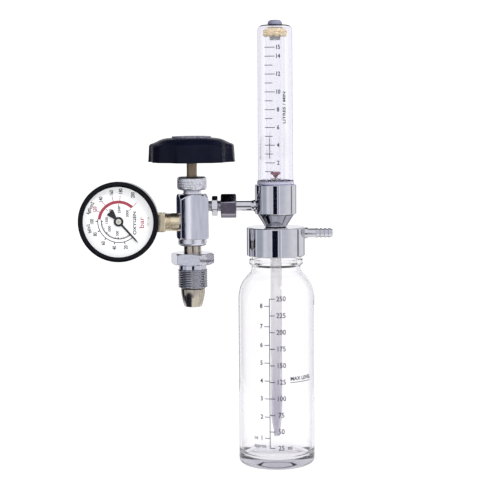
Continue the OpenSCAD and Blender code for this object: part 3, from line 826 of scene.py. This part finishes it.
def flow_print():
    """Litres a minute, 1 to 15, up the front of the metering tube."""
    first, step = 91.0, 6.77
    marks = Print()
    for value in range(1, 16):
        z = first + step * (value - 1)
        named = value % 2 == 0 or value == 15
        marks.rect(-8.8, z - 0.27, -0.6 if named else -2.4, z + 0.27)
        if named:
            marks.text(str(value), 1.9, z, 4.5, width=0.82, bold=0.14)
    marks.text("LITRES / MIN", 7.0, 140, 3.4, turn=90, width=1.3, bold=0.08)
    marks.lay("flow_scale", on_cylinder(13.75), GREY_INK, "flowmeter", "pointer_black")


def bottle_print():
    """Millilitres to the right of a line up the front of the bottle, and fluid ounces to its left."""
    marks = Print()
    line, top, step = -5.8, -5.5, 12.92
    foot = top - 9 * step
    marks.rect(line - 0.28, foot, line + 0.28, top)
    for i in range(10):
        z = top - step * i
        marks.rect(line, z - 0.3, line + 4.0, z + 0.3)
        marks.text(str(250 - 25 * i), line + 8.9, z, 5.4, width=0.92, bold=0.08)
    ounces = (-113.9, -97.3, -83.0, -69.1, -55.1, -41.3, -26.8, -11.1)
    for i, z in enumerate(ounces):
        marks.rect(line - 4.2, z - 0.28, line, z + 0.28)
        marks.text(str(i + 1), line - 6.6, z, 4.8, width=0.88, bold=0.13)
    marks.text("oz", line - 11.5, ounces[0], 4.2, width=0.85, bold=0.05)
    marks.text("ml", line + 15.6, foot, 4.6, width=0.85, bold=0.08)
    marks.text("approx", line - 8.2, foot + 1.6, 4.0, width=0.9, bold=0.05)
    marks.rect(10.4, -70.8, 30, -70.3)
    marks.text("MAX LEVEL", 20.5, -67.8, 4.0, width=1.02, bold=0.12)
    marks.lay("bottle_scale", on_cylinder(Box("bottle").rx + 0.04), BLUE_INK, "bottle", "pointer_black")


# ----- outlet union -----


def outlet_adaptor():
    """The threaded nipple that the union nut screws on."""
    r = 4.3
    rows, cut = thread_rows(r, 12.5, 21.6, pitch=1.0, depth=0.5)
    outline = [(1.6, 8.4), (r, 8.4), (r, 12.2)] + rows + [(r, 22.6), (6.2, 23.1), (6.2, 27.4), (1.6, 27.4)]

    def shape(phi, rr, z):
        return rr - cut(phi, z) if abs(rr - r) < 0.01 and 12.4 < z < 21.7 else rr

    return turned("outlet_adaptor_threaded", outline, along_x(OUTLET_Z), shape=shape, edge=0)


def hexagon(node, flats, bore, turn):
    """A hexagonal nut on the outlet's axis, as long as its CAD node."""
    low, high = Box(node).x0, Box(node).x1
    outline = [(bore, low + 0.3), (bore + 0.3, low)] + hex_side(flats, low, high)
    outline += [(bore + 0.3, high), (bore, high - 0.3)]

    def shape(phi, r, z):
        return soft_min(r, hex_radius(phi, flats, turn), 0.15) if r > bore + 0.2 else r

    return turned(f"{node}_turned", outline, along_x(OUTLET_Z), n=180, shape=shape, edge=0)


def outlet_locknut():
    return hexagon("outlet_locknut", 14, 4.3, LOCKNUT_TURN)


def union_nut():
    return hexagon("union_nut", 17, 6.25, UNION_TURN)


def tail_pipe():
    """The pipe from the union to the flowmeter, with a collar at each end."""
    outline = [
        (1.6, 28.3), (6.1, 28.3), (6.1, 30), (4.8, 31.2), (TAIL_R, 31.2), (TAIL_R, 45.5), (4.0, 46.6),
        (4.4, 47.8), (4.6, 48.4), (4.6, 52), (1.6, 52),
    ]
    return turned("tail_pipe_turned", outline, along_x(OUTLET_Z), edge=0.2)


# ----- flowmeter -----


def flow_body():
    """A plain barrel on a cone and a narrow stem, hollow for the tube and its seal."""
    box = Box("flow_body")
    r, top = box.rx, box.z1
    outline = [
        (1.5, box.z0), (3, box.z0), (3, 32), (5, 32), (5, 48), (9, 48), (9, 48.8), (14.6, 57), (15.9, 57.7),
        (r, 58.6), (r, 66), (r, 74), (r, top - 0.5), (r - 0.5, top), (12, top), (12, 74), (9.6, 74),
        (9.6, 80), (7.3, 80), (7.3, 76.5), (2.2, 76.5), (2.2, 61), (1.5, 56),
    ]
    return turned("flow_body_turned", outline, AT_FLOW, n=160, edge=0.25)


def metering_tube():
    """A plain tube whose bore widens upwards."""
    box = Box("metering_tube")
    outline = [(4.15, box.z0), (box.rx, box.z0), (box.rx, box.z1), (5.2, box.z1)]
    return turned("metering_tube_moulded", outline, AT_FLOW, edge=0.4)


def tube_cover():
    """The clear dome and, as a second piece, the flange at its foot."""
    box = Box("tube_cover")
    top = box.z1
    wall, bend, r_top = 1.7, 4.4, 13.5
    low = Box("flow_body").z1 + 0.6
    high = low + 1.5
    outline = [(10.6, box.z0), (12, box.z0), (12, low + 1.6), (13.9, low + 1.6)]
    outline += arc(r_top - bend, top - bend, bend, 0, 90, 14) + [(2.5, top), (2.5, top - wall)]
    outline += arc(r_top - bend, top - bend, bend - wall, 90, 0, 10) + [(12.1, 84), (10.6, 81)]
    foot = [(12.05, low - 0.6), (13, low - 0.6), (13, low), (14.5, low), (14.5, high), (12.05, high)]
    dome = turned("tube_cover_moulded", outline, AT_FLOW, n=128, edge=0.15)
    return dome, turned("tube_cover_flange", foot, AT_FLOW, n=128, edge=0.15)


def cover_seals():
    """The thin rings that show under the cover's flange and under its dome."""
    low, high = Box("flow_body").z1, Box("cover_seals").z1
    first = [(13, low), (14.3, low), (14.3, low + 0.6), (13, low + 0.6)]
    second = [(13.95, high - 0.6), (14.3, high - 0.6), (14.3, high - 0.1), (13.95, high - 0.1)]
    first = turned("cover_seals_moulded", first, AT_FLOW, edge=0.2)
    return join(first, turned("upper_seal", second, AT_FLOW, edge=0.15))


def top_plug():
    """A plug with a ragged coarse thread and a toothed lower skirt."""
    box = Box("top_plug")
    low, top = box.z0, box.z1
    lobes, teeth = 12, 10
    rows, cut = thread_rows(9.6, low + 1.6, top - 2.7, pitch=1.6, depth=0.7)
    outline = [(7.4, low + 1.5), (7.4, low + 0.3), (7.7, low), (8.6, low + 0.2)] + rows
    outline += [(9.0, top - 2.2), (6, top), (2.5, top), (2.5, top - 4.5), (3.5, top - 4.5), (3.5, low + 1.5)]

    def shape(phi, r, z):
        if r < 8.5:
            return r
        return r - 0.4 + 0.35 * math.cos(lobes * phi) - (cut(phi, z) if r > 9.5 else 0)

    plug = turned("top_plug_moulded", outline, AT_FLOW, n=144, shape=shape, edge=0)
    for v in plug.data.vertices:
        x, y, z = (v.co - AT_FLOW.translation * MM) / MM
        if z < low + 1.0 and math.hypot(x, y) > 7.3:
            v.co.z += 0.9 * MM * max(0, math.sin(teeth * math.atan2(y, x)))
    return plug


def top_button():
    """A domed button on a stem through the plug."""
    box = Box("top_button")
    top = box.z1
    outline = [(0, box.z0), (2.5, box.z0), (2.5, top - 3.7), (5.3, top - 3.7), (5.6, top - 3.4)]
    outline += [(5.6, top - 2.3)] + arc(2.8, top - 2.8, 2.8, 10, 90, 8) + [(0, top)]
    return turned("top_button_moulded", outline, AT_FLOW, ring=False, edge=0.1)


def float_piece():
    """A pointed bob with a flat head."""
    box = Box("float")
    low, r = box.z0, box.rx
    outline = [(0, low), (0.7, low + 0.1), (2.4, low + 2.5), (r, low + 3.2), (r, low + 4.5), (3.4, box.z1)]
    return turned("float_moulded", outline + [(0, box.z1)], AT_FLOW, n=48, ring=False, edge=0.15)


# ----- humidifier -----


def bottle_cap():
    """A plain turned cup, open below for the bottle's neck."""
    box = Box("bottle_cap")
    r, low, top = box.ry, box.z0, box.z1
    lip = 1.1
    outline = [(5, 37), (19.2, 37), (19.2, low + 0.4), (19.6, low), (r - 0.6, low), (r, low + 0.6)]
    outline += [(r, low + 6), (r, low + 14), (r, top - lip)] + arc(r - lip, top - lip, lip, 0, 90, 5)[1:]
    return turned("bottle_cap_turned", outline + [(12, top), (5, top)], AT_FLOW, n=180, edge=0.2)


def hose_barb():
    """A side outlet with four barbs for the hose."""
    tip = Box("hose_barb").x1
    crest, root, first, pitch = 3.7, 3.05, 96.4, 3.2
    outline = [(1.2, 78.2), (3.2, 78.2), (3.2, 87.4), (4.3, 87.6), (4.3, 90), (3.5, 90), (3.5, first - 0.3)]
    for i in range(4):
        start = first + i * pitch
        outline += [(crest, start), (crest, start + 0.5), (root, first + (i + 1) * pitch - 0.4)]
    return turned("hose_barb_turned", outline + [(2.9, tip), (1.2, tip)], along_x(BARB_Z), edge=0.12)


def dip_tube():
    """A long tube that narrows to a nozzle near the bottom of the bottle."""
    box = Box("dip_tube")
    r, low, top = box.rx, box.z0, box.z1
    outline = [(r, top), (r, 0), (r, -40), (r, -80), (r, -102), (3.8, -106.5), (2.9, -113), (2.5, -114.5)]
    outline += [(2.3, low), (1.5, low), (1.7, -113), (3, -102), (3, 0), (3, top)]
    return turned("dip_tube_moulded", outline, AT_FLOW, n=64, edge=0.2)


def bottle():
    """A blown bottle: a bead under the cap, a round shoulder, straight walls and a heavy pushed-up base."""
    box = Box("bottle")
    r, base, rim = box.rx, box.z0, box.z1
    bend, rise, hollow, corner, wall = 25.5, 50, 4, 3.5, 1.9
    cx, cz = r - bend, -8
    reach = math.radians(rise)
    wx, wz = cx + (bend + hollow) * math.cos(reach), cz + (bend + hollow) * math.sin(reach)
    straight = (-30, -64, -98)
    outline = [(16, rim), (18.8, rim), (18.8, 22.6), (20.4, 22.6), (21, 22), (21, 19), (20.4, 18.2)]
    outline += [(wx - hollow, 17)] + arc(wx, wz, hollow, 180, 180 + rise, 8) + arc(cx, cz, bend, rise, 0, 20)
    outline += [(r, z) for z in straight] + arc(r - corner, base + corner, corner, 0, -90, 10)
    outline += [(17, base + 0.6), (10, base + 2), (0.01, base + 2.4), (0.01, base + 8), (12, base + 7.6)]
    outline += arc(r - wall - 6, base + 13, 6, -90, 0, 12) + [(r - wall, z) for z in reversed(straight)]
    outline += arc(cx, cz, bend - wall, 0, rise, 16) + arc(wx, wz, hollow + wall, 180 + rise, 180, 6)
    return turned("bottle_blown", outline, AT_FLOW, n=160, edge=0.4)


# ----- the pieces -----


# Body and maker, then for each piece made its material, its slot and the CAD node it stands for
for body, make, *finishes in (
    ("valve", inlet_nipple, (NOSE_BRASS, "nose_brass", "inlet_nipple")),
    ("inlet_nut", inlet_nut, (SATIN_CHROME, "chrome", "inlet_nut"), (THREAD_STEEL, "dark_chrome")),
    ("valve", stem_collar, (SOFT_CHROME, "chrome", "stem_collar")),
    ("valve", valve_body, (BAR_CHROME, "chrome", "valve_body")),
    ("valve", bonnet, (SOFT_CHROME, "chrome", "bonnet")),
    ("valve", gland_nut, (KNURLED, "knurled_chrome", "gland_nut")),
    ("spindle", spindle, (BRASS, "brass", "spindle")),
    ("spindle", handwheel, (BLACK, "black_plastic", "handwheel"), (MARK_SHEEN, "black_plastic")),
    ("valve", gauge_case, (ENAMEL, "black_steel", "gauge_case")),
    ("valve", gauge_bezel, (ENAMEL, "black_steel", "gauge_bezel")),
    ("valve", gauge_socket, (PALE_BRASS, "brass", "gauge_socket")),
    ("valve", gauge_window, (WINDOW, "clear_window", "gauge_window")),
    ("pointer", gauge_pointer, (INK, "pointer_black", "gauge_pointer"), (HUB, "dial_white")),
    ("valve", outlet_adaptor, (CHROME, "chrome", "outlet_adaptor")),
    ("valve", outlet_locknut, (CHROME, "dark_chrome", "outlet_locknut")),
    ("union_nut", union_nut, (DARK_CHROME, "dark_chrome", "union_nut")),
    ("flowmeter", tail_pipe, (CHROME, "chrome", "tail_pipe")),
    ("flowmeter", flow_body, (CHROME, "chrome", "flow_body")),
    ("flowmeter", metering_tube, (TUBE, "clear_tube", "metering_tube")),
    ("flowmeter", tube_cover, (CLEAR, "clear_tube", "tube_cover"), (FLANGE, "clear_tube")),
    ("flowmeter", cover_seals, (LILAC, "white_seal", "cover_seals")),
    ("flowmeter", top_plug, (AMBER, "amber_plug", "top_plug")),
    ("flowmeter", top_button, (BUTTON, "grey_button", "top_button")),
    ("float", float_piece, (FLOAT, "float_red", "float")),
    ("flowmeter", bottle_cap, (CHROME, "chrome", "bottle_cap")),
    ("flowmeter", hose_barb, (CHROME, "chrome", "hose_barb")),
    ("flowmeter", dip_tube, (FROSTED, "frosted_tube", "dip_tube")),
    ("bottle", bottle, (BOTTLE, "clear_bottle", "bottle")),
):
    made = make()
    for piece, finish in zip(made if isinstance(made, tuple) else (made,), finishes, strict=True):
        finish_piece(piece, body, *finish)
dial_print()
flow_print()
bottle_print()


# ----- stage, light and camera -----


def sheet(name, corners, material):
    """A flat four-sided part of the stage."""
    obj = new_object(name, corners, [(0, 1, 2, 3)], smooth=False)
    obj.data.materials.append(material)
    return obj


def make_floor():
    """A pale floor just under the bottle, lit evenly enough to have no edge."""
    size, z = 260, Box("bottle").z0 - 0.2
    m = new_material("floor_paper")
    m.shade(Base_Color=m.mix(m.noise(3), (0.16, 0.16, 0.16), (0.15, 0.15, 0.15)), Roughness=0.9)
    m.shade(Emission_Color=(1, 1, 1), Emission_Strength=0.93)
    sheet("floor", [(-size, -size, z), (size, -size, z), (size, size, z), (-size, size, z)], m.owner)


def make_world():
    """A white tent with dark gaps behind, a dark strip overhead and a brown table below.

    It gives light and reflections; the camera sees plain white, also through clear plastic.
    """
    world = Nodes(bpy.data.worlds.new("tent"))
    bpy.context.scene.world = world.owner
    x, y, z = world.add("ShaderNodeSeparateXYZ", Vector=world.coord.outputs["Generated"]).outputs
    azimuth = world.math("DEGREES", world.math("ARCTAN2", y, x))
    elevation = world.math("DEGREES", world.math("ARCSINE", z))
    overhead = world.math("DEGREES", world.math("ARCTAN2", z, world.math("MULTIPLY", y, -1)))
    white, lilac, mid, bright = (0.95, 0.95, 0.98), (0.73, 0.75, 0.82), (0.48, 0.52, 0.6), (1.5, 1.5, 1.5)
    navy, grey, off, on = (0.01, 0.012, 0.035), (0.22, 0.22, 0.26), (0, 0, 0), (1, 1, 1)
    brown, violet = (0.1, 0.085, 0.07), (0.3, 0.27, 0.34)
    # Degrees round the object: -90 is behind the camera, 0 is at its right, 90 is behind the object
    round_about = world.stops(azimuth, -180, 180, [
        (-180, grey), (-176, white), (-168, mid), (-148, mid), (-136, white), (-118, lilac), (-100, white),
        (-85, white), (-80, lilac), (-77, mid), (-73, mid), (-71, bright), (-69, lilac), (-50, lilac),
        (-20, white), (0, white), (2, grey), (9, grey), (12, white), (48, white), (51, grey), (56, grey),
        (60, white), (105, white), (108, navy), (119, navy), (123, white), (135, white), (138, navy),
        (174, navy), (178, grey),
    ])
    below = world.stops(azimuth, -180, 180, [
        (-180, brown), (-96, brown), (-90, violet), (-84, violet), (-72, white), (20, white), (60, violet),
        (150, violet), (170, brown),
    ])
    low = world.stops(elevation, -90, 90, [(-90, on), (-22, on), (-17, off), (90, off)])
    high = world.stops(overhead, -180, 180, [(-180, off), (99, off), (104, on), (156, on), (166, off)])
    ahead = world.stops(x, -1, 1, [(-1, off), (-0.45, off), (-0.3, on), (0.3, on), (0.45, off)])
    sides = world.mix(world.math("MULTIPLY", high, ahead), world.mix(low, round_about, below), navy)
    path = world.add("ShaderNodeLightPath").outputs
    seen = world.math("ADD", path["Is Camera Ray"], path["Transmission Depth"])
    seen.node.use_clamp = True
    world.set(world.tree.nodes["Background"], Color=world.mix(seen, sides, (1.07, 1.07, 1.06)), Strength=1.05)


def make_lights():
    """Dark cards that only reflections show, and a soft light high on the right."""
    m = new_material("card_cloth")
    cloth = m.mix(m.noise(30), (0.008, 0.009, 0.035), (0.012, 0.013, 0.045))
    m.shade(Base_Color=cloth, Roughness=1.0, Specular_IOR_Level=0.0)
    for name, corners in (
        # In front, for the dark bands of the cap and the flowmeter
        ("card", [(-43, -400, -60), (111, -400, -60), (111, -400, 70), (-43, -400, 70)]),
        # Behind and below the hose barb and the tail pipe, for their dark undersides
        ("barb_card", [(104, 34, -20), (128, 34, -20), (128, 120, -20), (104, 120, -20)]),
        ("pipe_card", [(38, 32, 0), (54, 32, 0), (54, 120, 0), (38, 120, 0)]),
        # Under the inlet, for the dark patches of its nut and nose
        ("low_card", [(-170, -200, -62), (-24, -200, -62), (-14, 25, -62), (-170, 25, -62)]),
    ):
        card = sheet(name, corners, m.owner)
        card.visible_camera = card.visible_diffuse = card.visible_shadow = card.visible_transmission = False
    data = bpy.data.lights.new("softbox", "AREA")
    data.shape, data.size, data.size_y, data.energy = "RECTANGLE", 0.35, 0.12, 5
    lamp = in_scene("softbox", data)
    lamp.location = (0.45, -0.7, 0.75)
    lamp.rotation_euler = (Vector((0, 0, 0.05)) - lamp.location).to_track_quat("-Z", "Y").to_euler()
    lamp.visible_camera = lamp.visible_glossy = False


def make_camera():
    """The eye stands a little above the object's middle and looks down on it by six degrees."""
    target = Vector((44.8, 0, 29.3)) * MM
    eye = Vector((44.8, -1130, 149)) * MM
    seen_width = 0.3906
    camera = bpy.data.cameras.new("camera")
    camera.sensor_width = 36
    camera.lens = 36 * (eye - target).length / seen_width
    obj = in_scene("camera", camera)
    obj.location = eye
    roll = Matrix.Rotation(math.radians(-0.4), 3, "Z")
    obj.rotation_euler = ((target - eye).to_track_quat("-Z", "Y").to_matrix() @ roll).to_euler()
    bpy.context.scene.camera = obj


make_floor()
make_world()
make_lights()
make_camera()
bpy.context.scene.view_settings.view_transform = "Standard"
